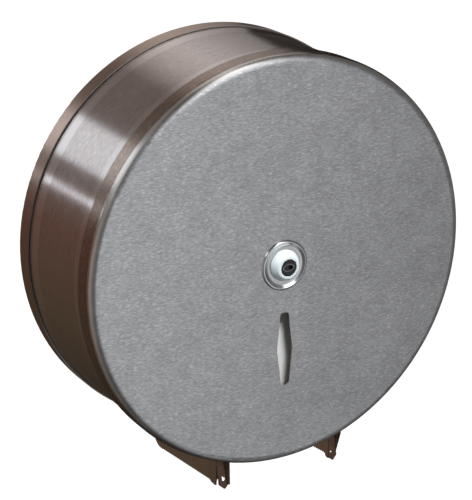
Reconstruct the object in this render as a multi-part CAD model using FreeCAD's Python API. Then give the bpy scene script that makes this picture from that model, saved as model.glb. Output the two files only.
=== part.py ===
import FreeCAD, Part

import math
import os

# Jumbo toilet roll dispenser: a round steel drum on a wall, with a lift-off cover.
# All lengths are millimetres and all angles are degrees.
# The origin is the drum's centre on the wall. +Y points into the wall, +Z is up, the face looks along -Y.

os.makedirs("parts", exist_ok=True)

# Gaps and overruns
overrun = 5.0
seam_gap = 0.3
loose_gap = 0.5
weld_gap = 0.05
smallest_edge = 0.005

# Paper roll, which the drum is built round
roll_radius = 130.0
roll_width = 90.0
roll_edge = 1.2
roll_side_space = 24.3
roll_face_space = 12.4
core_radius = 31.5
core_wall = 1.5
adapter_wall = 1.7
adapter_rib_count = 6
adapter_rib_width = 1.6
adapter_web = 2.0
adapter_short = 1.0

# Back pan
pan_step = 0.7
pan_sheet = 0.9
pan_rim_depth = 17.3
pan_corner = 3.0
plateau_margin = 10.0
plateau_height = 5.0
plateau_ramp = 8.0
bead_inset = 37.0
bead_width = 6.0
bead_slope = 3.0
bead_height = 1.6
bead_bend = 2.5
wall_hole_spacing = 150.0
wall_hole_radius = 3.25

# Front cap
cap_sheet = 0.8
cap_corner = 6.5
cap_skirt = 17.9
slot_top = 36.4
slot_length = 56.8
slot_end_width = 7.0
slot_middle_widening = 6.2
slot_shoulder_widening = 1.8
slot_shoulder_inset = 10.4
slot_shoulder_bend = 40.0
slot_middle_bend = 24.0

# Barrel band
barrel_sheet = 0.8
barrel_recess = 1.9
barrel_front_strip = 1.0
barrel_front_ramp = 9.6
barrel_rear_strip = 4.3
barrel_rear_ramp = 8.6
barrel_neck_lap = 8.0
barrel_bend = 7.0
cover_tail = 6.0

# Paper outlet
outlet_side_gap = 1.2
outlet_front_margin = 7.5
outlet_rear_lap = 0.7

# Tear bars
bar_sheet = 1.0
bar_front_gap = 0.8
bar_rear_gap = 0.6
bar_low_rear = 7.0
bar_inner_face = 42.7
bar_width_top = 12.5
bar_width_low = 10.1
bar_top_sink = 0.8
bar_inner_rise = 6.4
bar_drop_front = 24.0
bar_drop_rear = 34.3
bar_rear_corner = 8.0
bar_inner_zone = 4.3
bar_outer_zone = 12.4
bar_outer_drop = 0.8
bar_outer_lean = 4.8
bar_outer_corner_drop = 3.5
bar_lean_drop = 8.6
bar_front_step = 1.0
tongue_drop = 29.9
tongue_slant = 7.2
tongue_zone = 6.5
tongue_bend = 2.6
tongue_round = 1.4
tongue_shares = ((0.85, 0.1), (0.44, 1.0), (0.12, 0.35))
tooth_pitch = 2.8
tooth_depth = 0.9
tooth_clear_front = 1.2
tooth_clear_rear = 11.0
tab_hole_width = 2.6
tab_hole_height = 6.0
tab_hole_inset = 4.4
tab_hole_drop = 20.9
bar_flange_reach = 14.0
bar_flange_margin = 4.0
rivet_count = 3
rivet_radius = 1.6
rivet_head_radius = 3.2
rivet_head_height = 0.9
rivet_edge = 8.0

# Cover stops
stop_count = 3
stop_first_angle = 90.0
stop_width = 14.0
stop_sheet = 1.2
stop_foot = 14.0
stop_reach = 12.0
stop_rim_gap = 1.0

# Spindle
spindle_radius = 22.0
spindle_wall = 2.8
spindle_case_space = 1.2
spindle_flange_margin = 10.0
spindle_flange_thickness = 3.0
spindle_shoulder_step = 4.0
spindle_lead = 1.5
spindle_rib_count = 4
spindle_rib_width = 2.4
spindle_rib_reach = 13.0
bolt_shoulder_space = 6.0
bolt_count = 4
bolt_radius = 2.5
bolt_hole_gap = 0.2
bolt_head_radius = 4.6
bolt_head_height = 2.4
bolt_socket_radius = 1.7
bolt_socket_depth = 1.4
bolt_proud = 1.3
washer_radius = 5.0
washer_thickness = 1.0
nut_width = 8.0
nut_height = 4.0

# Keeper plate in the spindle's front end
keeper_thickness = 1.5
keeper_recess = 0.4
keeper_ledge = 2.6
keeper_slot_play = 3.0
keeper_hole_play = 1.7
keeper_screw_inset = 4.6
keeper_post_radius = 3.2
keeper_post_length = 14.0
keeper_screw_radius = 1.4
keeper_screw_length = 9.0
keeper_screw_head_radius = 2.7
keeper_screw_head_height = 1.2
keeper_screw_slot_width = 0.7
keeper_screw_slot_depth = 0.6

# Lock case
nose_height = 6.5
nose_base_step = 1.7
nose_base_height = 0.8
nose_base_round = 1.5
nose_middle_step = 0.5
nose_middle_share = 0.55
nose_middle_round = 8.0
nose_tip_inset = 1.4
nose_tip_round = 1.8
case_shank_radius = 10.0
case_shank_length = 12.3
case_nut_margin = 3.0
case_nut_height = 5.0
case_washer_thickness = 1.0

# Lock collar
collar_height = 1.2
collar_outer_slope = 1.0
collar_crown_width = 1.0
collar_crown_bend = 1.6
collar_inner_slope = 2.4
collar_inner_bend = 3.0
collar_floor_space = 2.9
collar_seat_width = 1.0
collar_hole_gap = 0.2
collar_edge_round = 0.3

# Lock plug
plug_head_radius = 6.4
plug_body_radius = 5.0
plug_fit = 0.08
plug_sink = 0.25
plug_head_length = 9.0
plug_tail_radius = 3.8
keyhole_half_width = 5.0
keyhole_half_height = 2.9
keyhole_depth = 2.6
liner_wall = 0.5
liner_sink = 0.15

# Lock cam
cam_gap = 3.0
cam_length = 19.0
cam_width = 5.0
cam_thickness = 2.0
cam_neck_side = 4.6
cam_screw_radius = 1.25
cam_screw_length = 7.0
cam_screw_head_step = 2.6
cam_screw_head_height = 1.8

# Places that follow from the sizes above, measured along the depth from the wall
outlet_rear = pan_rim_depth - outlet_rear_lap
roll_rear = outlet_rear + loose_gap
roll_front = roll_rear + roll_width
drum_depth = roll_front + roll_face_space
cap_back = drum_depth - cap_sheet
cap_skirt_end = drum_depth - cap_skirt
barrel_front_ramp_start = cap_skirt_end - barrel_front_strip
barrel_front_ramp_end = barrel_front_ramp_start - barrel_front_ramp
barrel_rear_ramp_end = pan_rim_depth + barrel_rear_strip
barrel_rear_ramp_start = barrel_rear_ramp_end + barrel_rear_ramp
outlet_front = drum_depth - outlet_front_margin
bar_front = outlet_front - bar_front_gap
bar_rear = pan_rim_depth + bar_rear_gap
bar_flange_front = barrel_front_ramp_end - bar_flange_margin
bar_flange_rear = barrel_rear_ramp_start + bar_flange_margin
tongue_front_top = bar_front - tongue_slant
spindle_rear = plateau_height + pan_sheet
flange_front = spindle_rear + spindle_flange_thickness
shoulder_front = roll_rear - loose_gap
bolt_end = flange_front + washer_thickness + nut_height + bolt_proud
case_rear = drum_depth - case_shank_length
spindle_front = case_rear - spindle_case_space
keeper_front = spindle_front - keeper_recess
keeper_rear = keeper_front - keeper_thickness
cam_front = keeper_rear - cam_gap
cam_rear = cam_front - cam_thickness
nose_tip = drum_depth + nose_height
plug_front = nose_tip - plug_sink
plug_shoulder = plug_front - plug_head_length

# Radii that follow
cap_radius = roll_radius + roll_side_space
pan_radius = cap_radius + pan_step
bead_radius = pan_radius - bead_inset
barrel_radius = cap_radius - barrel_recess
barrel_inner = barrel_radius - barrel_sheet
neck_radius = cap_radius - cap_sheet - weld_gap
tail_radius = pan_radius - pan_sheet - seam_gap
spindle_bore = spindle_radius - spindle_wall
spindle_shoulder_radius = spindle_radius + spindle_shoulder_step
bolt_circle = spindle_shoulder_radius + bolt_shoulder_space
bolt_hole_radius = bolt_radius + bolt_hole_gap
spindle_flange_radius = bolt_circle + spindle_flange_margin
plateau_radius = spindle_flange_radius + plateau_margin
keeper_radius = spindle_bore - seam_gap / 2 + keeper_ledge / 2
keeper_hole_radius = plug_tail_radius + keeper_hole_play
keeper_screw_place = spindle_bore - keeper_screw_inset
adapter_bore = spindle_radius + seam_gap
adapter_radius = core_radius - core_wall - weld_gap
nose_base_radius = case_shank_radius + nose_base_step
nose_middle_radius = case_shank_radius + nose_middle_step
nose_tip_radius = case_shank_radius - nose_tip_inset
collar_hole_radius = case_shank_radius + collar_hole_gap
collar_floor_radius = nose_base_radius + collar_floor_space
collar_seat_radius = collar_floor_radius + collar_seat_width
collar_crown_radius = collar_floor_radius + collar_inner_slope
collar_radius = collar_crown_radius + collar_crown_width + collar_outer_slope
bore_radius = plug_body_radius + plug_fit
head_bore_radius = plug_head_radius + plug_fit

# Widths that follow
slot_bottom = slot_top + slot_length
slot_middle_width = slot_end_width + slot_middle_widening
slot_shoulder_width = slot_end_width + slot_shoulder_widening
bar_outer_face_top = bar_inner_face + bar_width_top
bar_outer_face_low = bar_inner_face + bar_width_low
outlet_half_width = bar_outer_face_top + outlet_side_gap
tab_hole_place = bar_inner_face + tab_hole_inset
keeper_slot_width = cam_width + keeper_slot_play
case_nut_width = 2 * (case_shank_radius + case_nut_margin)

# Levels below the drum's centre that follow
bar_top = math.sqrt(barrel_inner ** 2 - bar_outer_face_top ** 2) - bar_top_sink
bar_inner_top = bar_top - bar_inner_rise
bar_edge_front = bar_top + bar_drop_front
bar_edge_rear = bar_top + bar_drop_rear
bar_lean_start = bar_top + bar_lean_drop
bar_tip = bar_top + tongue_drop
tab_hole_level = bar_top + tab_hole_drop

full_turn = 360.0
centre = FreeCAD.Vector(0, 0, 0)
drum_axis = FreeCAD.Vector(0, 1, 0)


def unit(vector):
    return vector.multiply(1 / vector.Length)


def in_section(point):
    # A section point is (radius, depth), and the drum's front is on -Y.
    return FreeCAD.Vector(point[0], -point[1], 0)


def in_front_view(depth):
    return lambda point: FreeCAD.Vector(point[0], -depth, point[1])


def in_side_view(place):
    return lambda point: FreeCAD.Vector(place, -point[0], point[1])


def in_plan(height):
    return lambda point: FreeCAD.Vector(point[0], -point[1], height)


def rounded_wire(points, radii, place):
    # A closed outline through the points, with each corner rounded by its radius.
    flat = [FreeCAD.Vector(x, y, 0) for x, y in points]
    corners = []
    for index, (point, radius) in enumerate(zip(flat, radii)):
        before = unit(flat[index - 1] - point)
        after = unit(flat[(index + 1) % len(flat)] - point)
        if radius <= 0:
            corners.append((point, None, point))
            continue
        half = before.getAngle(after) / 2
        cut = radius / math.tan(half)
        middle = unit(before + after)
        middle.multiply(radius / math.sin(half) - radius)
        start = point + FreeCAD.Vector(before).multiply(cut)
        end = point + FreeCAD.Vector(after).multiply(cut)
        corners.append((start, point + middle, end))
    edges = []
    for index, (start, middle, end) in enumerate(corners):
        if middle is not None:
            edges.append(Part.Arc(*[place((p.x, p.y)) for p in (start, middle, end)]).toShape())
        following = corners[(index + 1) % len(corners)][0]
        if (following - end).Length > smallest_edge:
            edges.append(Part.makeLine(place((end.x, end.y)), place((following.x, following.y))))
    return Part.Wire(edges)


def sheet_outline(points, radii, thickness):
    # The closed outline of a bent sheet: the path itself, and the path moved sideways by the thickness.
    flat = [FreeCAD.Vector(x, y, 0) for x, y in points]
    ways = [unit(b - a) for a, b in zip(flat, flat[1:])]
    sides = [FreeCAD.Vector(-way.y, way.x, 0) for way in ways]
    moved = []
    moved_radii = []
    for index, (point, radius) in enumerate(zip(flat, radii)):
        first = sides[max(index - 1, 0)]
        second = sides[min(index, len(sides) - 1)]
        shift = (first + second).multiply(thickness / (1 + first.dot(second)))
        moved.append(point + shift)
        turn = 0
        if 0 < index < len(flat) - 1:
            turn = ways[index - 1].x * ways[index].y - ways[index - 1].y * ways[index].x
        moved_radii.append(0 if radius == 0 else radius - math.copysign(thickness, turn))
    outline = [(p.x, p.y) for p in flat + moved[::-1]]
    return outline, list(radii) + moved_radii[::-1]


def turned(outline, radii=None):
    # A solid of revolution about the drum's axis, from (radius, depth) points.
    wire = rounded_wire(outline, radii or [0] * len(outline), in_section)
    return Part.Face(wire).revolve(centre, drum_axis, full_turn)


def turned_sheet(points, radii, thickness):
    return turned(*sheet_outline(points, radii, thickness))


def rod(radius, rear, front, x=0, z=0):
    # A round bar along the drum's axis, between two depths.
    return Part.makeCylinder(radius, front - rear, FreeCAD.Vector(x, -front, z), drum_axis)


def ring(outer, inner, rear, front, x=0, z=0):
    return rod(outer, rear, front, x, z).cut(rod(inner, rear - overrun, front + overrun, x, z))


def block(low, high):
    # A box from (x, depth, z) to (x, depth, z); the depths run towards the front.
    size = [b - a for a, b in zip(low, high)]
    return Part.makeBox(*size, FreeCAD.Vector(low[0], -high[1], low[2]))


def hexagon(width, rear, front, x=0, z=0):
    corner = width / math.sqrt(3)
    points = []
    for step in range(6):
        angle = math.radians(step * full_turn / 6)
        points.append((x + corner * math.cos(angle), z + corner * math.sin(angle)))
    wire = rounded_wire(points, [0] * len(points), in_front_view(rear))
    return Part.Face(wire).extrude(FreeCAD.Vector(0, rear - front, 0))


def around(shape, count, first_angle=0.0):
    # Copies of a shape, evenly spaced about the drum's axis.
    copies = []
    for index in range(count):
        copy = shape.copy()
        copy.rotate(centre, drum_axis, -(first_angle + index * full_turn / count))
        copies.append(copy)
    return copies


def prism(outline, radii, place, way):
    return Part.Face(rounded_wire(outline, radii, place)).extrude(way)


def save(name, shape):
    if shape.isNull() or not shape.isValid():
        raise RuntimeError(name + " is not a valid shape")
    shape.exportStep("parts/" + name + ".step")
    print(name, len(shape.Solids), "solids", round(shape.Volume), "mm3")


def bolt_places():
    half_step = full_turn / bolt_count / 2
    angles = [math.radians(half_step + index * full_turn / bolt_count) for index in range(bolt_count)]
    return [(bolt_circle * math.cos(angle), bolt_circle * math.sin(angle)) for angle in angles]


def back_pan():
    # The wall dish: a raised centre that hides the bolt heads, a stiffening bead and a rim.
    bead_inner = bead_radius - bead_width / 2
    bead_outer = bead_radius + bead_width / 2
    path = [
        (0, plateau_height),
        (plateau_radius, plateau_height),
        (plateau_radius + plateau_ramp, 0),
        (bead_inner - bead_slope, 0),
        (bead_inner, bead_height),
        (bead_outer, bead_height),
        (bead_outer + bead_slope, 0),
        (pan_radius, 0),
        (pan_radius, pan_rim_depth),
    ]
    bends = [0, pan_corner, pan_corner, bead_bend, bead_bend, bead_bend, bead_bend, pan_corner, 0]
    pan = turned_sheet(path, bends, pan_sheet)
    half = wall_hole_spacing / 2
    for x in (-half, half):
        for z in (-half, half):
            pan = pan.cut(rod(wall_hole_radius, -overrun, pan_rim_depth, x, z))
    for x, z in bolt_places():
        pan = pan.cut(rod(bolt_hole_radius, 0, spindle_rear + overrun, x, z))
    return pan


def front_cap():
    # The face and its rounded edge, drawn in one piece with a short skirt.
    hole = collar_seat_radius + weld_gap
    path = [(cap_radius, cap_skirt_end), (cap_radius, drum_depth), (hole, drum_depth)]
    cap = turned_sheet(path, [0, cap_corner, 0], cap_sheet)
    return cap.cut(sight_slot()).cut(outlet_cut())


def sight_slot():
    # A slot that widens towards its middle, with soft corners and round ends.
    end = slot_end_width / 2
    shoulder = slot_shoulder_width / 2
    middle = slot_middle_width / 2
    waist = -(slot_top + slot_bottom) / 2
    upper = -slot_top - slot_shoulder_inset
    lower = -slot_bottom + slot_shoulder_inset
    points = [
        (end, -slot_top),
        (shoulder, upper),
        (middle, waist),
        (shoulder, lower),
        (end, -slot_bottom),
        (-end, -slot_bottom),
        (-shoulder, lower),
        (-middle, waist),
        (-shoulder, upper),
        (-end, -slot_top),
    ]
    tight = end - loose_gap
    side = [slot_shoulder_bend, slot_middle_bend, slot_shoulder_bend]
    radii = [tight, *side, tight, tight, *side, tight]
    place = in_front_view(drum_depth + overrun)
    return prism(points, radii, place, FreeCAD.Vector(0, cap_sheet + 2 * overrun, 0))


def outlet_cut():
    # The paper outlet at the bottom of the drum.
    return block(
        (-outlet_half_width, outlet_rear, -cap_radius - overrun),
        (outlet_half_width, outlet_front, -bar_inner_top),
    )


def barrel_band():
    # The rolled strip behind the cap: a neck inside the cap's skirt, and a tail inside the pan's rim.
    path = [
        (tail_radius, cover_tail),
        (tail_radius, barrel_rear_ramp_end),
        (barrel_radius, barrel_rear_ramp_start),
        (barrel_radius, barrel_front_ramp_end),
        (neck_radius, barrel_front_ramp_start),
        (neck_radius, cap_skirt_end + barrel_neck_lap),
    ]
    bends = [0, barrel_bend, barrel_bend, barrel_bend, barrel_bend, 0]
    band = turned_sheet(path, bends, barrel_sheet)
    band = band.cut(outlet_cut())
    for side in (-1, 1):
        for hole in rivet_bodies(side, rivet_radius, rivet_radius):
            band = band.cut(hole)
    return band


def outer_face(level):
    # The outer wall leans inwards towards its lower edge.
    share = (level - bar_top) / (bar_edge_front - bar_top)
    return bar_outer_face_top + (bar_outer_face_low - bar_outer_face_top) * share


def tongue_side():
    # The tongue's outer edge runs along the outer wall's inner face.
    return outer_face(bar_tip) - bar_sheet


def tongue_front(level):
    # The front tongue stands back between the walls at the top and is level with them at its tip.
    share = (level - bar_top) / (bar_tip - bar_top)
    return tongue_front_top + (bar_front - tongue_front_top) * share


def edge_level(depth):
    share = (bar_front - depth) / (bar_front - bar_low_rear)
    return bar_edge_front + (bar_edge_rear - bar_edge_front) * share


def lofted(outline_at):
    # A solid between the plan outline above the bar and the one below its tip.
    levels = (bar_top - overrun, bar_tip + overrun)
    return Part.makeLoft([outline_at(level) for level in levels], True, True)


def bar_channel():
    # The right bar before its edges are cut: two walls with a tongue folded in between them.
    def hull(inset):
        def outline(level):
            inner = bar_inner_face + inset
            outer = outer_face(level) - inset
            front = tongue_front(level) - inset
            rear = bar_low_rear - (overrun if inset else 0)
            bend = tongue_bend - inset
            points = [(inner, rear), (inner, front), (outer, front), (outer, rear)]
            return rounded_wire(points, [0, bend, bend, 0], in_plan(-level))
        return lofted(outline)

    def wall(place):
        def outline(level):
            inner = place(level)
            outer = inner + bar_sheet
            middle = (bar_low_rear + bar_front) / 2
            points = [(inner, middle), (inner, bar_front), (outer, bar_front), (outer, middle)]
            return rounded_wire(points, [0] * 4, in_plan(-level))
        return lofted(outline)

    folded = hull(0).cut(hull(bar_sheet))
    inner_wall = wall(lambda level: bar_inner_face)
    outer_wall = wall(lambda level: outer_face(level) - bar_sheet)
    return folded.fuse([inner_wall, outer_wall]).removeSplitter()


def bar_wall_cut(start, width, zone_length, drop, front_corner):
    # What is cut away below one side wall: a sloping front corner, teeth and a round rear corner.
    zone = bar_front - zone_length
    below = -bar_edge_rear - drop - overrun
    corner_x, corner_z = front_corner
    points = [
        (bar_front + overrun, below),
        (bar_front + overrun, -bar_lean_start),
        (bar_front, -bar_lean_start),
        (corner_x, corner_z),
        (zone, -edge_level(zone) - drop - bar_front_step),
        (zone, -edge_level(zone) - drop),
    ]
    radii = [0, 0, 0, tongue_round, tongue_round / 2, 0]
    depth = zone - tooth_clear_front
    while depth - tooth_pitch > bar_low_rear + tooth_clear_rear:
        points += [
            (depth, -edge_level(depth) - drop),
            (depth - tooth_pitch / 2, -edge_level(depth) - drop + tooth_depth),
        ]
        radii += [0, 0]
        depth -= tooth_pitch
    corner_top = -edge_level(bar_low_rear) + 2 * bar_rear_corner
    points += [
        (depth, -edge_level(depth) - drop),
        (bar_low_rear, -edge_level(bar_low_rear)),
        (bar_low_rear, corner_top),
        (bar_low_rear - 2 * overrun, corner_top),
        (bar_low_rear - 2 * overrun, below),
    ]
    radii += [0, bar_rear_corner, 0, 0, 0]
    return prism(points, radii, in_side_view(start), FreeCAD.Vector(width, 0, 0))


def bar_inner_wall_cut():
    start = bar_inner_face - overrun
    return bar_wall_cut(start, overrun + bar_sheet, bar_inner_zone, 0, (bar_front, -bar_tip))


def bar_outer_wall_cut():
    # The outer wall's front edge leans back towards its lower corner. The tongue beside it is kept.
    start = outer_face(bar_edge_rear + overrun) - bar_sheet
    width = bar_outer_face_top - start + overrun
    corner = (bar_front - bar_outer_lean, -edge_level(bar_front) - bar_outer_corner_drop)
    cutter = bar_wall_cut(start, width, bar_outer_zone, bar_outer_drop, corner)
    return cutter.cut(block(
        (start - overrun, bar_front - tongue_zone, -pan_radius - bar_edge_rear),
        (tongue_side(), bar_front + 2 * overrun, 0),
    ))


def bar_pan_notch():
    # The bar's rear end passes below the pan's rim, and stops in front of it above that.
    level = math.sqrt(pan_radius ** 2 - bar_inner_face ** 2) + loose_gap
    return block(
        (0, bar_low_rear - 2 * overrun, -level),
        (pan_radius, bar_rear, 0),
    )


def bar_tongue_cut():
    # What is cut away around the rounded tongue at the bar's front end.
    width = bar_outer_face_low - bar_inner_face
    side_level = edge_level(bar_front - tongue_zone) + bar_front_step
    drop = bar_tip - side_level
    tongue = [(bar_inner_face + width * x, -side_level - drop * z) for x, z in tongue_shares]
    points = [
        (tongue_side(), -side_level),
        *tongue,
        (bar_inner_face - overrun, -side_level),
        (bar_inner_face - overrun, -bar_tip - 2 * overrun),
        (tongue_side(), -bar_tip - 2 * overrun),
    ]
    radii = [0, tongue_round / 2, tongue_round, tongue_round, 0, 0, 0]
    place = in_front_view(bar_front + overrun)
    return prism(points, radii, place, FreeCAD.Vector(0, overrun + tongue_zone, 0))


def bar_tab_hole():
    # The long hole in the front tongue.
    half = tab_hole_width / 2
    left = tab_hole_place - half
    right = tab_hole_place + half
    top = -tab_hole_level + tab_hole_height / 2
    bottom = -tab_hole_level - tab_hole_height / 2
    points = [(left, top), (right, top), (right, bottom), (left, bottom)]
    radius = half - weld_gap
    place = in_front_view(bar_front + overrun)
    return prism(points, [radius] * 4, place, FreeCAD.Vector(0, overrun + tongue_zone, 0))


def bar_flange():
    # The flange that lies against the barrel's inside and takes the rivets.
    outer = barrel_inner - weld_gap
    shell = ring(outer, outer - bar_sheet, bar_flange_rear, bar_flange_front)
    start = bar_outer_face_top - bar_sheet
    window = block(
        (start, bar_flange_rear - overrun, -barrel_radius - overrun),
        (start + bar_sheet + bar_flange_reach, bar_flange_front + overrun, 0),
    )
    return shell.common(window)


def rivet_angle(side):
    place = bar_outer_face_top + bar_flange_reach / 2
    return side * math.degrees(math.asin(place / barrel_inner))


def rivet_bodies(side, radius, head_radius):
    # Rivets on one side; with a head as wide as the shank they are the holes.
    span = bar_flange_front - bar_flange_rear - 2 * rivet_edge
    bodies = []
    inside = barrel_inner - weld_gap - bar_sheet
    for index in range(rivet_count):
        depth = bar_flange_rear + rivet_edge + span * index / (rivet_count - 1)
        foot = FreeCAD.Vector(0, -depth, -inside + rivet_head_height)
        down = FreeCAD.Vector(0, 0, -1)
        length = barrel_radius - inside + 2 * rivet_head_height
        body = Part.makeCylinder(radius, length, foot, down)
        if head_radius > radius:
            outer_foot = FreeCAD.Vector(0, -depth, -barrel_radius - weld_gap)
            outer_head = Part.makeCylinder(head_radius, rivet_head_height - weld_gap, outer_foot, down)
            inner_foot = FreeCAD.Vector(0, -depth, -inside + rivet_head_height)
            inner_head = Part.makeCylinder(head_radius, rivet_head_height - weld_gap, inner_foot, down)
            body = body.fuse([outer_head, inner_head]).removeSplitter()
        body.rotate(centre, drum_axis, -rivet_angle(side))
        bodies.append(body)
    return bodies


def tear_bar(side):
    bar = bar_channel()
    above_inner = block(
        (bar_inner_face - overrun, bar_rear - overrun, -bar_inner_top),
        (bar_inner_face + tongue_bend, bar_front + overrun, 0),
    )
    above_outer = rod(barrel_inner - weld_gap - bar_sheet / 2, bar_rear - overrun, bar_front + overrun)
    bar = bar.cut(above_inner).cut(above_outer.cut(block(
        (-barrel_radius, bar_rear - 2 * overrun, -barrel_radius),
        (bar_inner_face + tongue_bend, bar_front + 2 * overrun, barrel_radius),
    )))
    bar = bar.cut(bar_pan_notch())
    for cutter in (bar_inner_wall_cut(), bar_outer_wall_cut(), bar_tongue_cut(), bar_tab_hole()):
        bar = bar.cut(cutter)
    bar = bar.fuse(bar_flange()).removeSplitter()
    for hole in rivet_bodies(1, rivet_radius, rivet_radius):
        bar = bar.cut(hole)
    if side < 0:
        bar = bar.mirror(centre, FreeCAD.Vector(1, 0, 0))
    return bar


def tear_bar_rivets():
    bodies = []
    for side in (-1, 1):
        bodies += rivet_bodies(side, rivet_radius, rivet_head_radius)
    return Part.makeCompound(bodies)


def cover_stops():
    # Small brackets welded to the pan; the cover's rear edge seats on their shelves.
    shelf_top = cover_tail - seam_gap
    reach = pan_radius - pan_sheet - stop_rim_gap
    inner = reach - stop_reach
    foot = inner - stop_foot
    foot_top = pan_sheet + stop_sheet
    path = [(reach, shelf_top), (inner, shelf_top), (inner, foot_top), (foot, foot_top)]
    outline, radii = sheet_outline(path, [0] * len(path), stop_sheet)
    place = in_section
    start = FreeCAD.Vector(0, 0, -stop_width / 2)
    bracket = prism(outline, radii, place, FreeCAD.Vector(0, 0, stop_width))
    bracket.translate(start)
    return Part.makeCompound(around(bracket, stop_count, stop_first_angle))


def spindle():
    # The moulded spindle: a flange on the pan, a shoulder for the roll and a hollow nose with a ledge.
    outline = [
        (spindle_bore, spindle_rear),
        (spindle_flange_radius, spindle_rear),
        (spindle_flange_radius, flange_front),
        (spindle_shoulder_radius, flange_front),
        (spindle_shoulder_radius, shoulder_front),
        (spindle_radius, shoulder_front),
        (spindle_radius, spindle_front - spindle_lead),
        (spindle_radius - spindle_lead, spindle_front),
        (spindle_bore, spindle_front),
    ]
    body = turned(outline)
    shelf_inner = spindle_bore - keeper_ledge
    shelf = ring(spindle_bore + weld_gap, shelf_inner, keeper_rear - keeper_ledge, keeper_rear)
    rib_inner = spindle_shoulder_radius - spindle_wall / 2
    rib = prism(
        [
            (rib_inner, flange_front - weld_gap),
            (spindle_shoulder_radius + spindle_rib_reach, flange_front - weld_gap),
            (spindle_shoulder_radius + spindle_rib_width, shoulder_front - loose_gap),
            (rib_inner, shoulder_front - loose_gap),
        ],
        [0] * 4,
        in_section,
        FreeCAD.Vector(0, 0, spindle_rib_width),
    )
    rib.translate(FreeCAD.Vector(0, 0, -spindle_rib_width / 2))
    posts = []
    for z in (-keeper_screw_place, keeper_screw_place):
        posts.append(rod(keeper_post_radius, keeper_rear - keeper_post_length, keeper_rear, 0, z))
        web_top = spindle_bore + weld_gap if z > 0 else z
        web_low = z if z > 0 else -spindle_bore - weld_gap
        posts.append(block(
            (-keeper_post_radius / 2, keeper_rear - keeper_post_length, web_low),
            (keeper_post_radius / 2, keeper_rear, web_top),
        ))
    recess = rod(keeper_radius + seam_gap / 2, keeper_rear, spindle_front + overrun)
    body = body.fuse([shelf, *around(rib, spindle_rib_count), *posts]).cut(recess).removeSplitter()
    for x, z in bolt_places():
        body = body.cut(rod(bolt_radius, 0, shoulder_front, x, z))
    for z in (-keeper_screw_place, keeper_screw_place):
        body = body.cut(rod(keeper_screw_radius, keeper_rear - keeper_screw_length, spindle_front, 0, z))
    return body


def spindle_bolts():
    head_front = plateau_height
    head_rear = head_front - bolt_head_height
    bolts = []
    for x, z in bolt_places():
        head = rod(bolt_head_radius, head_rear, head_front, x, z)
        bolt = head.fuse(rod(bolt_radius, head_rear, bolt_end, x, z)).removeSplitter()
        socket_front = head_rear + bolt_socket_depth
        bolts.append(bolt.cut(hexagon(2 * bolt_socket_radius, head_rear - overrun, socket_front, x, z)))
    return Part.makeCompound(bolts)


def spindle_washers():
    front = flange_front + washer_thickness
    washers = [ring(washer_radius, bolt_radius, flange_front, front, x, z) for x, z in bolt_places()]
    return Part.makeCompound(washers)


def spindle_nuts():
    rear = flange_front + washer_thickness
    nuts = []
    for x, z in bolt_places():
        nut = hexagon(nut_width, rear, rear + nut_height, x, z)
        nuts.append(nut.cut(rod(bolt_radius, rear - overrun, rear + nut_height + overrun, x, z)))
    return Part.makeCompound(nuts)


def keeper_plate():
    # A steel disc in the spindle's front end; the cam goes in through its slot and turns behind it.
    plate = rod(keeper_radius, keeper_rear, keeper_front)
    plate = plate.cut(rod(keeper_hole_radius, keeper_rear - overrun, keeper_front + overrun))
    reach = cam_length / 2 + (keeper_slot_width - cam_width) / 2
    plate = plate.cut(block(
        (-reach, keeper_rear - overrun, -keeper_slot_width / 2),
        (reach, keeper_front + overrun, keeper_slot_width / 2),
    ))
    for z in (-keeper_screw_place, keeper_screw_place):
        plate = plate.cut(rod(keeper_screw_radius, keeper_rear - overrun, keeper_front + overrun, 0, z))
    return plate


def keeper_screws():
    screws = []
    head_front = keeper_front + keeper_screw_head_height
    for z in (-keeper_screw_place, keeper_screw_place):
        head = rod(keeper_screw_head_radius, keeper_front, head_front, 0, z)
        shank = rod(keeper_screw_radius, keeper_rear - keeper_screw_length, head_front, 0, z)
        half = keeper_screw_slot_width / 2
        slot = block(
            (-2 * keeper_screw_head_radius, head_front - keeper_screw_slot_depth, z - half),
            (2 * keeper_screw_head_radius, head_front + overrun, z + half),
        )
        screws.append(head.fuse(shank).removeSplitter().cut(slot))
    return Part.makeCompound(screws)


def lock_collar():
    # A polished ring that stands proud of the face, with a floor set in the hole in the face.
    crown = drum_depth + collar_height
    outline = [
        (collar_radius, drum_depth),
        (collar_crown_radius + collar_crown_width, crown),
        (collar_crown_radius, crown),
        (collar_floor_radius, drum_depth),
        (collar_hole_radius, drum_depth),
        (collar_hole_radius, cap_back),
        (collar_seat_radius, cap_back),
        (collar_seat_radius, drum_depth),
    ]
    radii = [0, collar_crown_bend, collar_edge_round, collar_inner_bend, 0, 0, 0, 0]
    return turned(outline, radii)


def lock_case():
    # The white nose in front of the collar's floor, and the threaded shank behind it.
    waist = drum_depth + nose_height * nose_middle_share
    bore_step = plug_shoulder - seam_gap
    outline = [
        (head_bore_radius, nose_tip),
        (nose_tip_radius, nose_tip),
        (nose_middle_radius, waist),
        (nose_base_radius, drum_depth + nose_base_height),
        (nose_base_radius, drum_depth),
        (case_shank_radius, drum_depth),
        (case_shank_radius, case_rear),
        (bore_radius, case_rear),
        (bore_radius, bore_step),
        (head_bore_radius, bore_step),
    ]
    radii = [0, nose_tip_round, nose_middle_round, nose_base_round, 0, 0, 0, 0, 0, 0]
    return turned(outline, radii)


def lock_washer():
    return ring(collar_radius, case_shank_radius, cap_back - case_washer_thickness, cap_back)


def lock_nut():
    front = cap_back - case_washer_thickness
    rear = front - case_nut_height
    nut = hexagon(case_nut_width, rear, front)
    return nut.cut(rod(case_shank_radius, rear - overrun, front + overrun))


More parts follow.
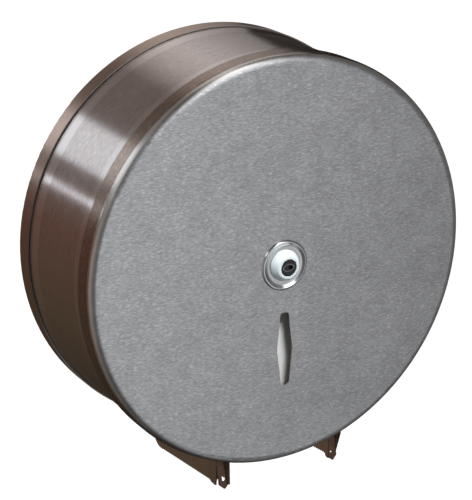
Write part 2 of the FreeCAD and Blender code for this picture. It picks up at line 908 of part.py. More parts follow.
def keyhole_lens(inset, rear, front):
    # The eye-shaped keyhole: an upper and a lower arc that meet in two points.
    half_width = keyhole_half_width - inset * keyhole_half_width / keyhole_half_height
    half_height = keyhole_half_height - inset
    place = in_front_view(rear)
    left = place((-half_width, 0))
    right = place((half_width, 0))
    upper = Part.Arc(left, place((0, half_height)), right).toShape()
    lower = Part.Arc(right, place((0, -half_height)), left).toShape()
    return Part.Face(Part.Wire([upper, lower])).extrude(FreeCAD.Vector(0, rear - front, 0))


def lock_plug():
    # The key plug: a wide head with a keyhole, a long body and a square neck for the cam.
    outline = [
        (0, plug_front),
        (plug_head_radius, plug_front),
        (plug_head_radius, plug_shoulder),
        (plug_body_radius, plug_shoulder),
        (plug_body_radius, case_rear - seam_gap),
        (plug_tail_radius, case_rear - seam_gap),
        (plug_tail_radius, cam_front),
        (0, cam_front),
    ]
    body = turned(outline)
    side = cam_neck_side / 2
    neck = block((-side, cam_rear, -side), (side, cam_front + weld_gap, side))
    thread = rod(cam_screw_radius, cam_rear - overrun, cam_rear + cam_screw_length)
    keyhole = keyhole_lens(0, plug_front - keyhole_depth, plug_front + overrun)
    return body.fuse(neck).removeSplitter().cut(keyhole).cut(thread)


def key_liner():
    # The steel liner that the key turns in.
    rear = plug_front - keyhole_depth
    front = plug_front - liner_sink
    return keyhole_lens(0, rear, front).cut(keyhole_lens(liner_wall, rear - overrun, front + overrun))


def lock_cam():
    side = cam_neck_side / 2
    bar = block((-cam_length / 2, cam_rear, -cam_width / 2), (cam_length / 2, cam_front, cam_width / 2))
    boss = rod(plug_tail_radius, cam_rear, cam_front)
    hole = block((-side, cam_rear - overrun, -side), (side, cam_front + overrun, side))
    return bar.fuse(boss).removeSplitter().cut(hole)


def cam_screw():
    head = rod(cam_screw_head_step + cam_screw_radius, cam_rear - cam_screw_head_height, cam_rear)
    shank = rod(cam_screw_radius, cam_rear - cam_screw_head_height, cam_rear + cam_screw_length)
    screw = head.fuse(shank).removeSplitter()
    rear = cam_rear - cam_screw_head_height
    return screw.cut(hexagon(2 * cam_screw_radius, rear - overrun, rear + cam_screw_head_height / 2))


def paper_roll():
    outline = [
        (core_radius, roll_rear),
        (roll_radius, roll_rear),
        (roll_radius, roll_front),
        (core_radius, roll_front),
    ]
    return turned(outline, [0, roll_edge, roll_edge, 0])


def cardboard_core():
    return ring(core_radius, core_radius - core_wall, roll_rear, roll_front)


def core_adapter():
    # A moulded bush: an inner and an outer sleeve, ribs between them and a web at each end of the ribs.
    rear = roll_rear
    front = roll_front - adapter_short
    inner_sleeve = ring(adapter_bore + adapter_wall, adapter_bore, rear, front)
    outer_sleeve = ring(adapter_radius, adapter_radius - adapter_wall, rear, front)
    middle = (rear + front) / 2
    half = adapter_web / 2
    web = ring(adapter_radius - weld_gap, adapter_bore + weld_gap, middle - half, middle + half)
    rib = block(
        (adapter_bore + adapter_wall / 2, rear + adapter_web, -adapter_rib_width / 2),
        (adapter_radius - adapter_wall / 2, front - adapter_web, adapter_rib_width / 2),
    )
    return inner_sleeve.fuse([outer_sleeve, web, *around(rib, adapter_rib_count)]).removeSplitter()


save("back_pan", back_pan())
save("cover_stops", cover_stops())
save("spindle", spindle())
save("spindle_bolts", spindle_bolts())
save("spindle_washers", spindle_washers())
save("spindle_nuts", spindle_nuts())
save("keeper_plate", keeper_plate())
save("keeper_screws", keeper_screws())
save("front_cap", front_cap())
save("barrel_band", barrel_band())
save("tear_bar_left", tear_bar(-1))
save("tear_bar_right", tear_bar(1))
save("tear_bar_rivets", tear_bar_rivets())
save("lock_collar", lock_collar())
save("lock_case", lock_case())
save("lock_washer", lock_washer())
save("lock_nut", lock_nut())
save("lock_plug", lock_plug())
save("key_liner", key_liner())
save("lock_cam", lock_cam())
save("cam_screw", cam_screw())
save("paper_roll", paper_roll())
save("cardboard_core", cardboard_core())
save("core_adapter", core_adapter())
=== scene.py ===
import math

import bpy
from mathutils import Matrix, Vector


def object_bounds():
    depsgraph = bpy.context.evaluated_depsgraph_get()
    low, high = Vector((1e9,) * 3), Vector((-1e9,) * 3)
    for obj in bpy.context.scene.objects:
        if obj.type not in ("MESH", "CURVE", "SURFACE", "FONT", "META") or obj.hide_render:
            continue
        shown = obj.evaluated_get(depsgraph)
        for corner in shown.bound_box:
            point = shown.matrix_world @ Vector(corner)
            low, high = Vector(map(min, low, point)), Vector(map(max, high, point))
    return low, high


# Round steel dispenser for a jumbo toilet roll, hung in a plain pale studio.
# Lengths are metres. The face looks along -Y, the wall is at y = 0 and the drum's middle line is Y.

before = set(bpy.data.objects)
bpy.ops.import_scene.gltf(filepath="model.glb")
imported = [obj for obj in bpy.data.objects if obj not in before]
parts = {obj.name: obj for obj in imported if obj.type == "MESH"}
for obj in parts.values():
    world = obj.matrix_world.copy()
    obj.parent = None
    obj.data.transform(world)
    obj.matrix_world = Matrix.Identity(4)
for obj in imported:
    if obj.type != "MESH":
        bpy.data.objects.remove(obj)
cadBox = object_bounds()
mm = 0.001
noiseSpan = {"From Min": 0.3, "From Max": 0.7}  # nearly all of a noise texture's values lie in here
drumMiddle = Vector((0, (cadBox[0].y + cadBox[1].y) / 2, 0))
print("frame loaded:", len(parts), "parts")


def toLinear(channel):
    return channel / 12.92 if channel <= 0.04045 else ((channel + 0.055) / 1.055) ** 2.4


def hexColor(text):
    # sRGB hex to the linear colour that Blender works in
    return tuple(toLinear(int(text[i:i + 2], 16) / 255) for i in (1, 3, 5)) + (1.0,)


def addNode(tree, kind, inputs=None, **settings):
    # A socket among the inputs is linked, anything else is set as a value
    node = tree.nodes.new(kind)
    for name, value in settings.items():
        setattr(node, name, value)
    for key, value in (inputs or {}).items():
        if isinstance(value, bpy.types.NodeSocket):
            tree.links.new(value, node.inputs[key])
        else:
            node.inputs[key].default_value = value
    return node


# Camera, as the photograph was taken: from the drum's left and a little above

cameraLook = {
    "place": (-0.6194, -1.1598, 0.4406),
    "azimuthDeg": -29.135,
    "elevationDeg": 19.495,
    "rollDeg": -0.805,
    "lensMm": 129.3,
    "sensorMm": 36,
}
cameraPlace = Vector(cameraLook["place"])


def directionOf(azimuthDeg, elevationDeg):
    azimuth, elevation = math.radians(azimuthDeg), math.radians(elevationDeg)
    return Vector((math.sin(azimuth) * math.cos(elevation), -math.cos(azimuth) * math.cos(elevation),
                   math.sin(elevation)))


def makeCamera(look):
    azimuth, roll = math.radians(look["azimuthDeg"]), math.radians(look["rollDeg"])
    back = directionOf(look["azimuthDeg"], look["elevationDeg"])
    right = Vector((math.cos(azimuth), math.sin(azimuth), 0))
    up = back.cross(right)
    turnedRight = math.cos(roll) * right + math.sin(roll) * up
    turnedUp = math.cos(roll) * up - math.sin(roll) * right
    data = bpy.data.cameras.new("photoCamera")
    data.sensor_fit = "AUTO"
    data.sensor_width = look["sensorMm"]
    data.lens = look["lensMm"]
    camera = bpy.data.objects.new("photoCamera", data)
    camera.matrix_world = Matrix((turnedRight, turnedUp, back)).transposed().to_4x4()
    camera.location = look["place"]
    bpy.context.scene.collection.objects.link(camera)
    bpy.context.scene.camera = camera


makeCamera(cameraLook)
bpy.context.scene.view_settings.view_transform = "Standard"
print("camera placed")


# Studio: white surround, pale floor far below, and three soft lamps that light the part but aren't
# mirrored in it

studioLook = {
    "fill": "#FBFBFD",
    "fillStrength": 0.17,
    "floorColor": "#F2F2F0",
    "floorBelow": 3.1,
    "floorReach": 30,
    "floorGlow": 0.95,
}
lampLooks = {
    "keyLamp": {"azimuthDeg": -4, "elevationDeg": 46, "distance": 1.7, "size": 0.45, "watts": 30,
                "color": "#F8FBFF"},
    "topLamp": {"azimuthDeg": -20, "elevationDeg": 78, "distance": 1.6, "size": 0.9, "watts": 10,
                "color": "#FFFFFF"},
    "sideLamp": {"azimuthDeg": 70, "elevationDeg": 25, "distance": 2.2, "size": 1.2, "watts": 8,
                 "color": "#FFF9F2"},
}


def seenDirectly(tree):
    # 1 for what the camera, a mirror or a glass sees, 0 for the light that falls on things
    path = addNode(tree, "ShaderNodeLightPath").outputs
    either = addNode(tree, "ShaderNodeMath", {0: path["Is Camera Ray"], 1: path["Is Glossy Ray"]},
                     operation="MAXIMUM").outputs[0]
    return addNode(tree, "ShaderNodeMath", {0: either, 1: path["Is Transmission Ray"]},
                   operation="MAXIMUM").outputs[0]


def makeSurround(look):
    world = bpy.data.worlds.new("paleStudio")
    world.use_nodes = True
    tree = world.node_tree
    tree.nodes.clear()
    fill = addNode(tree, "ShaderNodeBackground",
                   {"Color": hexColor(look["fill"]), "Strength": look["fillStrength"]}).outputs[0]
    white = addNode(tree, "ShaderNodeBackground", {"Color": hexColor("#FFFFFF"), "Strength": 1.0}).outputs[0]
    mixed = addNode(tree, "ShaderNodeMixShader", {0: seenDirectly(tree), 1: fill, 2: white}).outputs[0]
    addNode(tree, "ShaderNodeOutputWorld", {"Surface": mixed})
    bpy.context.scene.world = world


def makeFloor(look):
    material = bpy.data.materials.new("paleFloorPaint")
    material.use_nodes = True
    tree = material.node_tree
    tree.nodes.clear()
    paint = addNode(tree, "ShaderNodeBsdfDiffuse", {"Color": hexColor(look["floorColor"])}).outputs[0]
    lift = addNode(tree, "ShaderNodeMath", {0: seenDirectly(tree), 1: look["floorGlow"]},
                   operation="MULTIPLY").outputs[0]
    glow = addNode(tree, "ShaderNodeEmission", {"Color": hexColor("#FFFFFF"), "Strength": lift}).outputs[0]
    both = addNode(tree, "ShaderNodeAddShader", {0: paint, 1: glow}).outputs[0]
    addNode(tree, "ShaderNodeOutputMaterial", {"Surface": both})
    reach, height = look["floorReach"], cadBox[0].z - look["floorBelow"]
    mesh = bpy.data.meshes.new("floor")
    mesh.from_pydata([(-reach, -reach, height), (reach, -reach, height), (reach, reach, height),
                      (-reach, reach, height)], [], [(0, 1, 2, 3)])
    mesh.materials.append(material)
    floor = bpy.data.objects.new("floor", mesh)
    bpy.context.scene.collection.objects.link(floor)


def makeLamp(name, look):
    data = bpy.data.lights.new(name, "AREA")
    data.size = look["size"]
    data.energy = look["watts"]
    data.color = hexColor(look["color"])[:3]
    lamp = bpy.data.objects.new(name, data)
    lamp.visible_glossy = False  # what the part mirrors are the cards below
    away = directionOf(look["azimuthDeg"], look["elevationDeg"])
    lamp.location = drumMiddle + look["distance"] * away
    lamp.rotation_euler = away.to_track_quat("Z", "Y").to_euler()
    bpy.context.scene.collection.objects.link(lamp)


makeSurround(studioLook)
makeFloor(studioLook)
for lampName, lampLook in lampLooks.items():
    makeLamp(lampName, lampLook)
print("studio lit")


# Cards that are only seen mirrored: dim boards and bright windows, because a shiny sheet needs a room to
# show. Tones are colours by angle across a card, and dims are brightness by angle up it. A single value
# holds for the whole card. Soft is the share of a card's width that fades out at each side. The tones of
# roomBoard follow colours read round the photographed drum, so they suit that view best.

# Each card glows with its own light; none is lit. What the steel shows of them is their reflection.
cardSteps = 30
drumCards = {
    # degs go round the drum, and tiltsDeg say how far a side that mirrors the card is tilted to the wall
    "roomBoard": {
        "paint": "warmBoardPaint",
        "degs": (48, 264), "tiltsDeg": (-36, 30), "distance": 1.5, "strength": 1.0, "soft": 0, "dims": 1.0,
        "tones": ((48, "#2E2A29"), (75, "#5E5755"), (90, "#B2ABA9"), (105, "#F0E9E7"), (112, "#DCD4D1"),
                  (120, "#877C77"), (150, "#918784"), (165, "#795C52"), (190, "#5E4F40"), (215, "#3C332A"),
                  (264, "#241F1A")),
    },
    "windowCard": {
        "paint": "windowCardGlow",
        "degs": (136.2, 149.0), "tiltsDeg": (-58, 30), "distance": 1.4, "strength": 1.42, "soft": 0.08,
        "dims": 1.0, "tones": "#F4F8FF",
    },
    "doorGapCard": {
        "paint": "doorGapCardGlow",
        "degs": (154.5, 156.8), "tiltsDeg": (-30, 30), "distance": 1.4, "strength": 1.8, "soft": 0.25,
        "dims": 1.0, "tones": "#F4F6FF",
    },
}
frontCards = {
    "frontBoard": {
        "paint": "greyBoardPaint",
        "azimuthsDeg": (-95, 180), "elevationsDeg": (-80, 80), "distance": 3.0, "strength": 1.52, "soft": 0,
        "dims": ((-80, 0.3), (-45, 0.55), (-28, 0.78), (-12, 1.0), (30, 0.8), (80, 0.45)),
        "tones": ((-95, "#7C7672"), (-60, "#9A9591"), (-40, "#77736F"), (-23, "#65615E"), (-10, "#7F8083"),
                  (5, "#C6C8CC"), (20, "#EBEDF1"), (38, "#949496"), (50, "#7C7B7C"), (110, "#6A6663"),
                  (180, "#3A3431")),
    },
    "frontWindow": {
        "paint": "frontWindowGlow",
        "azimuthsDeg": (-2, 38), "elevationsDeg": (8, 70), "distance": 2.8, "strength": 3.5, "soft": 0.3,
        "dims": ((8, 0.1), (18, 1.0), (56, 1.0), (70, 0.4)), "tones": "#FBFCFF",
    },
}
underCard = {
    "paint": "darkBoardPaint", "reach": 2.2, "below": 2.9, "strength": 1.0, "soft": 0, "dims": 1.0,
    "tones": "#3A3431",
}


def asShares(stops, low, high):
    # Stops by angle become stops by share of the card
    if isinstance(stops, tuple):
        return [((angle - low) / (high - low), value) for angle, value in stops]
    return [(0, stops), (1, stops)]


def glowMaterial(look, across, upwards):
    material = bpy.data.materials.new(look["paint"])
    material.use_nodes = True
    tree = material.node_tree
    tree.nodes.clear()
    sides = addNode(tree, "ShaderNodeSeparateXYZ", {0: addNode(tree, "ShaderNodeUVMap").outputs[0]}).outputs
    tones = [(share, hexColor(text)) for share, text in asShares(look["tones"], *across)]
    dims = [(share, (bright, bright, bright, 1)) for share, bright in asShares(look["dims"], *upwards)]
    ramps = []
    for side, stops in ((sides[0], tones), (sides[1], dims)):
        ramp = addNode(tree, "ShaderNodeValToRGB", {0: side})
        elements = ramp.color_ramp.elements
        while len(elements) < len(stops):
            elements.new(0.5)
        for element, (share, color) in zip(elements, stops):
            element.position = share
            element.color = color
        ramps.append(ramp.outputs[0])
    color = addNode(tree, "ShaderNodeMix", {0: 1.0, 6: ramps[0], 7: ramps[1]}, data_type="RGBA",
                    blend_type="MULTIPLY").outputs[2]
    glow = addNode(tree, "ShaderNodeEmission", {"Color": color, "Strength": look["strength"]}).outputs[0]
    if look["soft"]:
        far = addNode(tree, "ShaderNodeMath", {0: 1.0, 1: sides[0]}, operation="SUBTRACT").outputs[0]
        edge = addNode(tree, "ShaderNodeMath", {0: sides[0], 1: far}, operation="MINIMUM").outputs[0]
        fade = addNode(tree, "ShaderNodeMapRange", {"Value": edge, "From Max": look["soft"]},
                       interpolation_type="SMOOTHSTEP").outputs[0]
        clear = addNode(tree, "ShaderNodeBsdfTransparent").outputs[0]
        glow = addNode(tree, "ShaderNodeMixShader", {0: fade, 1: clear, 2: glow}).outputs[0]
    addNode(tree, "ShaderNodeOutputMaterial", {"Surface": glow})
    return material


def makeCard(name, look, across, upwards, pointAt):
    # A curved sheet of small faces through the points that pointAt gives for a place across it and one up it
    def between(ends, share):
        return ends[0] + (ends[1] - ends[0]) * share

    shares = [i / cardSteps for i in range(cardSteps + 1)]
    points = [pointAt(between(across, u), between(upwards, v), look) for v in shares for u in shares]
    row = cardSteps + 1
    faces = [(r * row + c, r * row + c + 1, (r + 1) * row + c + 1, (r + 1) * row + c)
             for r in range(cardSteps) for c in range(cardSteps)]
    mesh = bpy.data.meshes.new(name)
    mesh.from_pydata(points, [], faces)
    layer = mesh.uv_layers.new(name="UVMap")
    for loop in mesh.loops:
        layer.data[loop.index].uv = (shares[loop.vertex_index % row], shares[loop.vertex_index // row])
    mesh.materials.append(glowMaterial(look, across, upwards))
    card = bpy.data.objects.new(name, mesh)
    card.visible_camera = card.visible_diffuse = card.visible_shadow = False
    card.visible_transmission = card.visible_volume_scatter = False
    bpy.context.scene.collection.objects.link(card)


def mirroredInDrum(angleDeg, tiltDeg, look):
    # What the camera sees mirrored in the drum's side at that angle, with the side tilted to the wall
    angle, tilt = math.radians(angleDeg), math.radians(tiltDeg)
    outward = Vector((math.cos(angle), 0, math.sin(angle)))
    place = drumMiddle + cadBox[1].x * outward
    facing = math.cos(tilt) * outward + math.sin(tilt) * Vector((0, 1, 0))
    sight = (place - cameraPlace).normalized()
    return place + look["distance"] * (sight - 2 * sight.dot(facing) * facing)


def inDirection(azimuthDeg, elevationDeg, look):
    return look["distance"] * directionOf(azimuthDeg, elevationDeg)


def underDrum(x, y, look):
    return (x, y, -look["below"])


for cardName, cardLook in drumCards.items():
    makeCard(cardName, cardLook, cardLook["degs"], cardLook["tiltsDeg"], mirroredInDrum)
for cardName, cardLook in frontCards.items():
    makeCard(cardName, cardLook, cardLook["azimuthsDeg"], cardLook["elevationsDeg"], inDirection)
underEnds = (-underCard["reach"], underCard["reach"])
makeCard("underBoard", underCard, underEnds, underEnds, underDrum)
print("cards set")


# Materials. A pattern's place is read in the part's own coordinates, so it stays on the part when that moves.

def startMaterial(name, sockets):
    material = bpy.data.materials.new(name)
    material.use_nodes = True
    tree = material.node_tree
    tree.nodes.clear()
    shader = addNode(tree, "ShaderNodeBsdfPrincipled", sockets)
    addNode(tree, "ShaderNodeOutputMaterial", {"Surface": shader.outputs[0]})
    return material, tree, shader


def dress(material, *names):
    for name in names:
        mesh = parts[name].data
        mesh.materials.clear()
        mesh.materials.append(material)


def perMm(*sizesMm):
    # How much a pattern's coordinates are stretched for features of these sizes along X, Y and Z
    return tuple(1 / (size * mm) for size in sizesMm)


# Stainless steel sheet, type 304, brushed with a 180 grit belt. The belt leaves short, nearly parallel
# scratches, so a highlight is drawn out across them and stays sharp along them. Formed steps are burnished by
# the rolls and shine more. Their colour is partly that shine and partly painted reflection, such as the white
# line along the cap's rounded edge. Real scratches are about 0.1 mm wide, and are drawn as wide as they need
# to show. Facing is how far a surface turns to the front or back, from 0 on the drum's side to 1 on its face.
# The colours by facing are painted reflection too: the warm tint of the drum's sides and the bars' light
# sides and dark front tabs stand for the room that each side mirrors, not for a different steel.

brushLook = {
    "flatFacing": (0.6, 0.9),
    "detail": 3.0,
    "harshness": 0.6,
    "glint": "#E4E4E4",
    "glintShare": 0.5,
    "glintSpan": 0.06,
    "smudge": 0.025,  # hands and cloths change the roughness by this much either way
    # Painted shade: a darker colour for the steel in and beside the seam.
    "seam": "#8A827D",  # in the narrow gap between the pan's rim and the barrel, where steel faces steel
    "tangentTilt": 0.01,  # keeps the tangent from lying along the normal on the rounded edge
}
# Painted reflection: the round colours' warm tint and the bars' dark flat and light round colours are the
# mirrored room put into the steel's colour.
steelLooks = {
    "brushedFaceSteel": {
        "parts": ("front_cap",),
        "flat": ("#929292", "#BCBCBC"), "round": ("#82736A", "#A39488"), "burnishedWithPaintedReflection": "#CBC8C4",
        "roughFlat": 0.36, "roughRound": 0.26, "roughStep": 0.22, "anisotropic": 0.55,
        "scratchLengthMm": 2.8, "scratchWidthMm": 0.6, "scratchDepthMm": 0.008, "glintFrom": 0.62,
        "cloudMm": 16, "cloudSpan": 0.14, "stepFacing": (0.22, 0.42),
    },
    "brushedBandSteel": {
        "parts": ("barrel_band",),
        "flat": ("#A8A19D", "#B5AFAB"), "round": ("#A29B97", "#C2BBB7"), "burnishedWithPaintedReflection": "#CAC5C2",
        "roughFlat": 0.36, "roughRound": 0.22, "roughStep": 0.2, "anisotropic": 0.8,
        "scratchLengthMm": 4.0, "scratchWidthMm": 0.6, "scratchDepthMm": 0.01, "glintFrom": 0.64,
        "cloudMm": 24, "cloudSpan": 0.06, "stepFacing": (0.06, 0.19), "seamMm": (0, 17.35),
    },
    "brushedPanSteel": {
        "parts": ("back_pan", "cover_stops"),
        "flat": ("#9F9C99", "#ABA8A5"), "round": ("#9C877A", "#AF9C8F"), "burnishedWithPaintedReflection": "#BDB8B4",
        "roughFlat": 0.4, "roughRound": 0.3, "roughStep": 0.25, "anisotropic": 0.6,
        "scratchLengthMm": 4.5, "scratchWidthMm": 0.6, "scratchDepthMm": 0.008, "glintFrom": 0.7,
        "cloudMm": 24, "cloudSpan": 0.08, "stepFacing": (0.06, 0.19), "seamMm": (17.15, 20.0),
    },
    "brushedBarSteel": {
        "parts": ("tear_bar_left", "tear_bar_right"),
        "flat": ("#46352D", "#56443B"), "round": ("#D8CAC2", "#E8DCD5"), "burnishedWithPaintedReflection": "#7E695E",
        "roughFlat": 0.34, "roughRound": 0.3, "roughStep": 0.25, "anisotropic": 0.4,
        "scratchLengthMm": 3.6, "scratchWidthMm": 0.6, "scratchDepthMm": 0.01, "glintFrom": 0.7,
        "cloudMm": 18, "cloudSpan": 0.12, "stepFacing": (0.06, 0.19),
    },
}


def brushedSteel(name, look, brush):
    material, tree, shader = startMaterial(name, {"Metallic": 1.0, "Anisotropic": look["anisotropic"]})
    place = addNode(tree, "ShaderNodeTexCoord").outputs["Object"]
    normal = addNode(tree, "ShaderNodeNewGeometry").outputs["Normal"]
    depthwise = addNode(tree, "ShaderNodeSeparateXYZ", {0: normal}).outputs["Y"]
    facing = addNode(tree, "ShaderNodeMath", {0: depthwise}, operation="ABSOLUTE").outputs[0]
    flat = addNode(tree, "ShaderNodeMapRange", {"Value": facing, "From Min": brush["flatFacing"][0],
                                                "From Max": brush["flatFacing"][1]}).outputs[0]
    tilted = addNode(tree, "ShaderNodeMapRange", {"Value": facing, "From Min": look["stepFacing"][0],
                                                  "From Max": look["stepFacing"][1]},
                     interpolation_type="SMOOTHSTEP").outputs[0]
    step = addNode(tree, "ShaderNodeMath", {0: tilted, 1: flat}, operation="SUBTRACT",
                   use_clamp=True).outputs[0]

    # Scratches run across the flat face and round the drum's side
    length, width = look["scratchLengthMm"], look["scratchWidthMm"]
    flatWay = addNode(tree, "ShaderNodeVectorMath", {0: place, 1: perMm(length, length, width)},
                      operation="MULTIPLY").outputs[0]
    roundWay = addNode(tree, "ShaderNodeVectorMath", {0: place, 1: perMm(length, width, length)},
                       operation="MULTIPLY").outputs[0]
    way = addNode(tree, "ShaderNodeMix", {0: flat, 4: roundWay, 5: flatWay}, data_type="VECTOR").outputs[1]
    scratch = addNode(tree, "ShaderNodeTexNoise", {"Vector": way, "Scale": 1.0, "Detail": brush["detail"],
                                                   "Roughness": brush["harshness"]}).outputs[0]
    grain = addNode(tree, "ShaderNodeMapRange", {"Value": scratch, **noiseSpan}).outputs[0]
    glint = addNode(tree, "ShaderNodeMapRange",
                    {"Value": scratch, "From Min": look["glintFrom"],
                     "From Max": look["glintFrom"] + brush["glintSpan"]}).outputs[0]
    cloud = addNode(tree, "ShaderNodeTexNoise", {"Vector": place, "Scale": perMm(look["cloudMm"])[0],
                                                 "Detail": brush["detail"]}).outputs[0]

    # Grain mixes each pair's dark and light; the pairs hold the painted reflection set by facing.
    grained = []
    for dark, light in (look["flat"], look["round"]):
        grained.append(addNode(tree, "ShaderNodeMix", {0: grain, 6: hexColor(dark), 7: hexColor(light)},
                               data_type="RGBA").outputs[2])
    color = addNode(tree, "ShaderNodeMix", {0: flat, 6: grained[1], 7: grained[0]},
                    data_type="RGBA").outputs[2]
    # Formed steps and rounded edges take a colour that is partly burnishing and partly painted reflection.
    color = addNode(tree, "ShaderNodeMix", {0: step, 6: color, 7: hexColor(look["burnishedWithPaintedReflection"])},
                    data_type="RGBA").outputs[2]
    glintShare = addNode(tree, "ShaderNodeMath", {0: glint, 1: brush["glintShare"]},
                         operation="MULTIPLY").outputs[0]
    color = addNode(tree, "ShaderNodeMix", {0: glintShare, 6: color, 7: hexColor(brush["glint"])},
                    data_type="RGBA").outputs[2]
    wear = addNode(tree, "ShaderNodeMapRange", {"Value": cloud, **noiseSpan, "To Min": 1 - look["cloudSpan"],
                                                "To Max": 1.0}).outputs[0]
    color = addNode(tree, "ShaderNodeVectorMath", {0: color, "Scale": wear}, operation="SCALE").outputs[0]
    # Painted shade: a darker colour along the seam between the pan's rim and the barrel, where steel faces
    # steel.
    if "seamMm" in look:
        low, high = look["seamMm"]
        depth = addNode(tree, "ShaderNodeSeparateXYZ", {0: place}).outputs["Y"]
        beyond = addNode(tree, "ShaderNodeMath", {0: depth, 1: -low * mm}, operation="LESS_THAN").outputs[0]
        before = addNode(tree, "ShaderNodeMath", {0: depth, 1: -high * mm},
                         operation="GREATER_THAN").outputs[0]
        seam = addNode(tree, "ShaderNodeMath", {0: beyond, 1: before}, operation="MULTIPLY").outputs[0]
        color = addNode(tree, "ShaderNodeMix", {0: seam, 6: color, 7: hexColor(brush["seam"])},
                        data_type="RGBA").outputs[2]
    tree.links.new(color, shader.inputs["Base Color"])

    rough = addNode(tree, "ShaderNodeMapRange", {"Value": flat, "To Min": look["roughRound"],
                                                 "To Max": look["roughFlat"]}).outputs[0]
    rough = addNode(tree, "ShaderNodeMix", {0: step, 2: rough, 3: look["roughStep"]}).outputs[0]
    smudge = addNode(tree, "ShaderNodeMapRange", {"Value": cloud, **noiseSpan, "To Min": -brush["smudge"],
                                                  "To Max": brush["smudge"]}).outputs[0]
    rough = addNode(tree, "ShaderNodeMath", {0: rough, 1: smudge}, operation="ADD").outputs[0]
    tree.links.new(rough, shader.inputs["Roughness"])

    # The tangent lies across the scratches, because that is the way in which they draw a highlight out
    notFlat = addNode(tree, "ShaderNodeMath", {0: 1.0, 1: flat}, operation="SUBTRACT").outputs[0]
    tangent = addNode(tree, "ShaderNodeCombineXYZ",
                      {0: brush["tangentTilt"], 1: notFlat, 2: flat}).outputs[0]
    tree.links.new(tangent, shader.inputs["Tangent"])
    bump = addNode(tree, "ShaderNodeBump", {"Height": scratch, "Strength": 1.0,
                                            "Distance": look["scratchDepthMm"] * mm}).outputs[0]
    tree.links.new(bump, shader.inputs["Normal"])
    return material


for steelName, steelLook in steelLooks.items():
    dress(brushedSteel(steelName, steelLook, brushLook), *steelLook["parts"])
print("brushed steel done")


def grainedMaterial(name, look, sockets, grain):
    # An even surface whose fine patches change its colour, shine and height a little
    material, tree, shader = startMaterial(name, sockets)
    place = addNode(tree, "ShaderNodeTexCoord").outputs["Object"]
    way = addNode(tree, "ShaderNodeVectorMath", {0: place, 1: perMm(*[look["grainMm"]] * 3)},
                  operation="MULTIPLY").outputs[0]
    patch = addNode(tree, "ShaderNodeTexNoise", {"Vector": way, "Scale": 1.0, **grain}).outputs[0]
    dark, light = look["colors"]
    color = addNode(tree, "ShaderNodeMix", {0: patch, 6: hexColor(dark), 7: hexColor(light)},
                    data_type="RGBA").outputs[2]
    tree.links.new(color, shader.inputs["Base Color"])
    rough = addNode(tree, "ShaderNodeMapRange", {"Value": patch, **noiseSpan,
                                                 "To Min": look["rough"] - look["roughSpan"] / 2,
                                                 "To Max": look["rough"] + look["roughSpan"] / 2}).outputs[0]
    tree.links.new(rough, shader.inputs["Roughness"])
    bump = addNode(tree, "ShaderNodeBump", {"Height": patch, "Distance": look["depthMm"] * mm}).outputs[0]
    tree.links.new(bump, shader.inputs["Normal"])
    return material


# Metals that are polished, drawn or plated rather than brushed. Polished steel mirrors the room with a faint
# haze. Zinc plate is greyer, and its crystals are seen as soft patches, drawn larger than real to show.

metalShader = {"Metallic": 1.0}
metalGrain = {"Detail": 4.0, "Roughness": 0.6}
metalLooks = {
    "polishedSteel": {
        "parts": ("lock_collar",), "colors": ("#B4B4B4", "#C0C1C1"),
        "rough": 0.12, "roughSpan": 0.05, "grainMm": 6.0, "depthMm": 0.0004,
    },
    # Painted shade: the liner's drawn steel is given a dark colour for its place down in the keyhole.
    "drawnSteelTubeWithPaintedShade": {
        "parts": ("key_liner",), "colors": ("#77777A", "#8C8C8E"),
        "rough": 0.14, "roughSpan": 0.05, "grainMm": 1.5, "depthMm": 0.001,
    },
    "dullZincPlate": {
        "parts": ("keeper_plate", "lock_washer", "lock_nut", "lock_cam"), "colors": ("#A3A5A2", "#BCBEBA"),
        "rough": 0.4, "roughSpan": 0.14, "grainMm": 2.2, "depthMm": 0.004,
    },
    "brightZincPlate": {
        "parts": ("spindle_bolts", "spindle_washers", "spindle_nuts", "keeper_screws", "tear_bar_rivets",
                  "cam_screw"), "colors": ("#B4B8BC", "#CDD0D2"),
        "rough": 0.27, "roughSpan": 0.1, "grainMm": 1.2, "depthMm": 0.003,
    },
}
for metalName, metalLook in metalLooks.items():
    dress(grainedMaterial(metalName, metalLook, metalShader, metalGrain), *metalLook["parts"])
print("plain metals done")


# Moulded plastics: a polished white acetal nose, a black acetal key plug and spindle parts of white ABS from
# a spark-eroded mould, whose fine grain breaks up the shine. Grain is about 0.1 mm and is drawn larger.

plasticShader = {"IOR": 1.48}
plasticGrain = {"Detail": 3.0}
plasticLooks = {
    "glossWhiteAcetal": {
        "parts": ("lock_case",), "colors": ("#DCE5E7", "#E2EAEB"),
        "rough": 0.2, "roughSpan": 0.06, "grainMm": 3.0, "depthMm": 0.002,
    },
    "blackAcetal": {
        "parts": ("lock_plug",), "colors": ("#040405", "#0A0B0B"),
        "rough": 0.22, "roughSpan": 0.08, "grainMm": 0.8, "depthMm": 0.006,
    },
    "grainedWhiteAbs": {
        "parts": ("spindle", "core_adapter"), "colors": ("#D3D6D4", "#DEE0DD"),
        "rough": 0.46, "roughSpan": 0.1, "grainMm": 0.5, "depthMm": 0.02,
    },
}
for plasticName, plasticLook in plasticLooks.items():
    dress(grainedMaterial(plasticName, plasticLook, plasticShader, plasticGrain), *plasticLook["parts"])
print("plastics done")


# Tissue paper, creped and wound: the roll's ends show its layers as fine rings, its outside the soft creping.
# A real layer is about 0.15 mm thick, and the rings are drawn wider to show.

paperLook = {
    "shader": {"Roughness": 0.95, "Sheen Weight": 0.15, "Specular IOR Level": 0.2},
    "colors": ("#E9E8E3", "#F5F4F0"), "layerMm": 0.6, "crepeMm": 1.1, "depthMm": 0.12, "detail": 3.0,
}


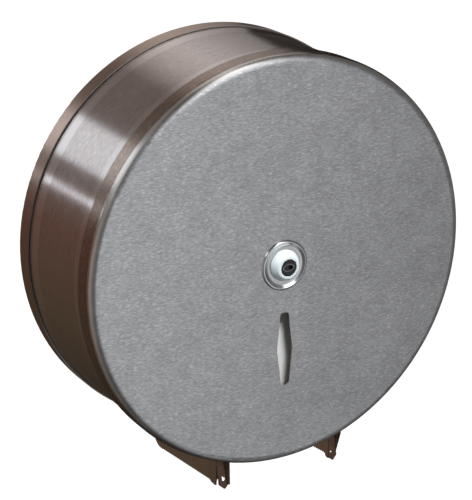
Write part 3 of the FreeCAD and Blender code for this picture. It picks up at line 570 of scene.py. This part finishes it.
def crepedTissue(look):
    material, tree, shader = startMaterial("creped tissue", look["shader"])
    place = addNode(tree, "ShaderNodeTexCoord").outputs["Object"]
    split = addNode(tree, "ShaderNodeSeparateXYZ", {0: place}).outputs
    flatPlace = addNode(tree, "ShaderNodeCombineXYZ", {0: split[0], 2: split[2]}).outputs[0]
    radius = addNode(tree, "ShaderNodeVectorMath", {0: flatPlace}, operation="LENGTH").outputs["Value"]
    turns = addNode(tree, "ShaderNodeMath", {0: radius, 1: perMm(look["layerMm"])[0]},
                    operation="MULTIPLY").outputs[0]
    layers = addNode(tree, "ShaderNodeTexNoise", {"W": turns, "Scale": 1.0, "Detail": look["detail"]},
                     noise_dimensions="1D").outputs[0]
    way = addNode(tree, "ShaderNodeVectorMath", {0: place, 1: perMm(*[look["crepeMm"]] * 3)},
                  operation="MULTIPLY").outputs[0]
    crepe = addNode(tree, "ShaderNodeTexNoise",
                    {"Vector": way, "Scale": 1.0, "Detail": look["detail"]}).outputs[0]
    normal = addNode(tree, "ShaderNodeNewGeometry").outputs["Normal"]
    depthwise = addNode(tree, "ShaderNodeSeparateXYZ", {0: normal}).outputs["Y"]
    onEnd = addNode(tree, "ShaderNodeMath", {0: depthwise}, operation="ABSOLUTE").outputs[0]
    height = addNode(tree, "ShaderNodeMix", {0: onEnd, 2: crepe, 3: layers}).outputs[0]
    dark, light = look["colors"]
    color = addNode(tree, "ShaderNodeMix", {0: height, 6: hexColor(dark), 7: hexColor(light)},
                    data_type="RGBA").outputs[2]
    tree.links.new(color, shader.inputs["Base Color"])
    bump = addNode(tree, "ShaderNodeBump", {"Height": height, "Distance": look["depthMm"] * mm}).outputs[0]
    tree.links.new(bump, shader.inputs["Normal"])
    return material


dress(crepedTissue(paperLook), "paper_roll")


# Grey board, spirally wound: short pulp fibres and a dull, slightly rough surface. Real fibres are far finer.

boardLook = {
    "shader": {"Roughness": 0.88, "Specular IOR Level": 0.3},
    "colors": ("#857A69", "#A1957F"), "fibreMm": (2.4, 0.5, 0.5), "depthMm": 0.04, "detail": 4.0,
    "harshness": 0.65,
}


def woundGreyBoard(look):
    material, tree, shader = startMaterial("spiral wound grey board", look["shader"])
    place = addNode(tree, "ShaderNodeTexCoord").outputs["Object"]
    way = addNode(tree, "ShaderNodeVectorMath", {0: place, 1: perMm(*look["fibreMm"])},
                  operation="MULTIPLY").outputs[0]
    fibres = addNode(tree, "ShaderNodeTexNoise", {"Vector": way, "Scale": 1.0, "Detail": look["detail"],
                                                  "Roughness": look["harshness"]}).outputs[0]
    dark, light = look["colors"]
    color = addNode(tree, "ShaderNodeMix", {0: fibres, 6: hexColor(dark), 7: hexColor(light)},
                    data_type="RGBA").outputs[2]
    tree.links.new(color, shader.inputs["Base Color"])
    bump = addNode(tree, "ShaderNodeBump", {"Height": fibres, "Distance": look["depthMm"] * mm}).outputs[0]
    tree.links.new(bump, shader.inputs["Normal"])
    return material


dress(woundGreyBoard(boardLook), "cardboard_core")
print("paper and board done")
